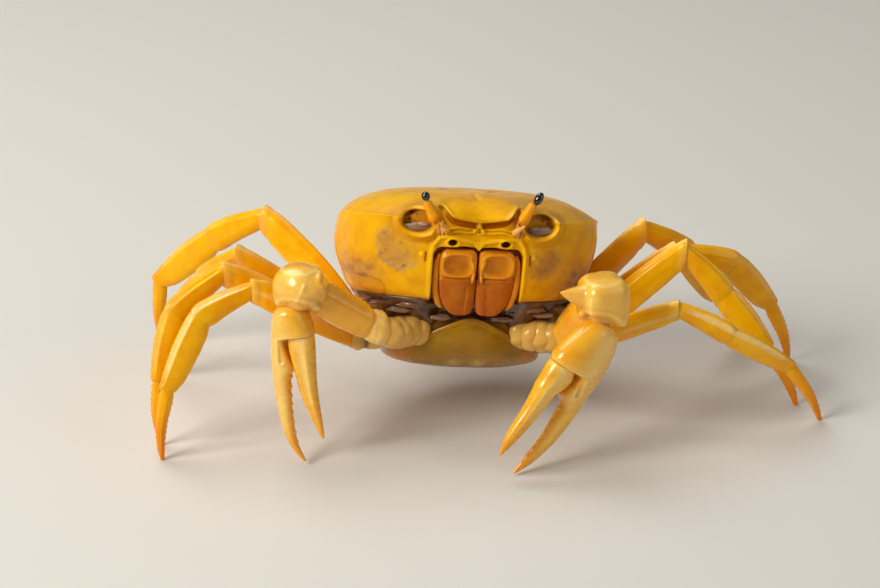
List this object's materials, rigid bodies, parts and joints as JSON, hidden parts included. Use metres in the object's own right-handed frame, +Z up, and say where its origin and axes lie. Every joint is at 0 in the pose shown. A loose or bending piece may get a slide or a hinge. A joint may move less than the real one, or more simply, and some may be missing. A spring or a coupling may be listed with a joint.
{
  "type": "terrathelphusa crab",
  "caption": "Small orange land crab, life size, standing raised on its leg tips with its claws held down in front.",
  "frame": {"origin": "on the floor, under the middle of the crab's box", "axes": "+X towards the crab's left side, -Y the way it faces, +Z up"},
  "size_m": [0.0916, 0.0494, 0.0352],
  "materials": {
    "shell": "wet orange-yellow chitin, brown mottling",
    "leg": "glossy bright yellow-orange chitin",
    "claw": "glossy cream-yellow chitin",
    "mouth": "wet brown-orange plates",
    "under": "wet olive-brown under side",
    "stalk": "orange eyestalks and feelers",
    "eye": "black, mirror smooth"
  },
  "bodies": {
    "root": {"abdomen": "under", "antenna_left": "stalk", "antenna_right": "stalk", "carapace": "shell", "cheliped_left_carpus": "claw", "cheliped_left_dactyl": "claw", "cheliped_left_merus": "claw", "cheliped_left_palm": "claw", "cheliped_right_carpus": "claw", "cheliped_right_dactyl": "claw", "cheliped_right_merus": "claw", "cheliped_right_palm": "claw", "eye_left": "eye", "eye_right": "eye", "eyestalk_left": "stalk", "eyestalk_right": "stalk", "leg_left_1_carpus": "leg", "leg_left_1_dactyl": "leg", "leg_left_1_merus": "leg", "leg_left_1_propodus": "leg", "leg_left_2_carpus": "leg", "leg_left_2_dactyl": "leg", "leg_left_2_merus": "leg", "leg_left_2_propodus": "leg", "leg_left_3_carpus": "leg", "leg_left_3_dactyl": "leg", "leg_left_3_merus": "leg", "leg_left_3_propodus": "leg", "leg_left_4_carpus": "leg", "leg_left_4_dactyl": "leg", "leg_left_4_merus": "leg", "leg_left_4_propodus": "leg", "leg_right_1_carpus": "leg", "leg_right_1_dactyl": "leg", "leg_right_1_merus": "leg", "leg_right_1_propodus": "leg", "leg_right_2_carpus": "leg", "leg_right_2_dactyl": "leg", "leg_right_2_merus": "leg", "leg_right_2_propodus": "leg", "leg_right_3_carpus": "leg", "leg_right_3_dactyl": "leg", "leg_right_3_merus": "leg", "leg_right_3_propodus": "leg", "leg_right_4_carpus": "leg", "leg_right_4_dactyl": "leg", "leg_right_4_merus": "leg", "leg_right_4_propodus": "leg", "maxilliped_left": "mouth", "maxilliped_right": "mouth", "sternum": "under"}
  },
  "joints": []
}
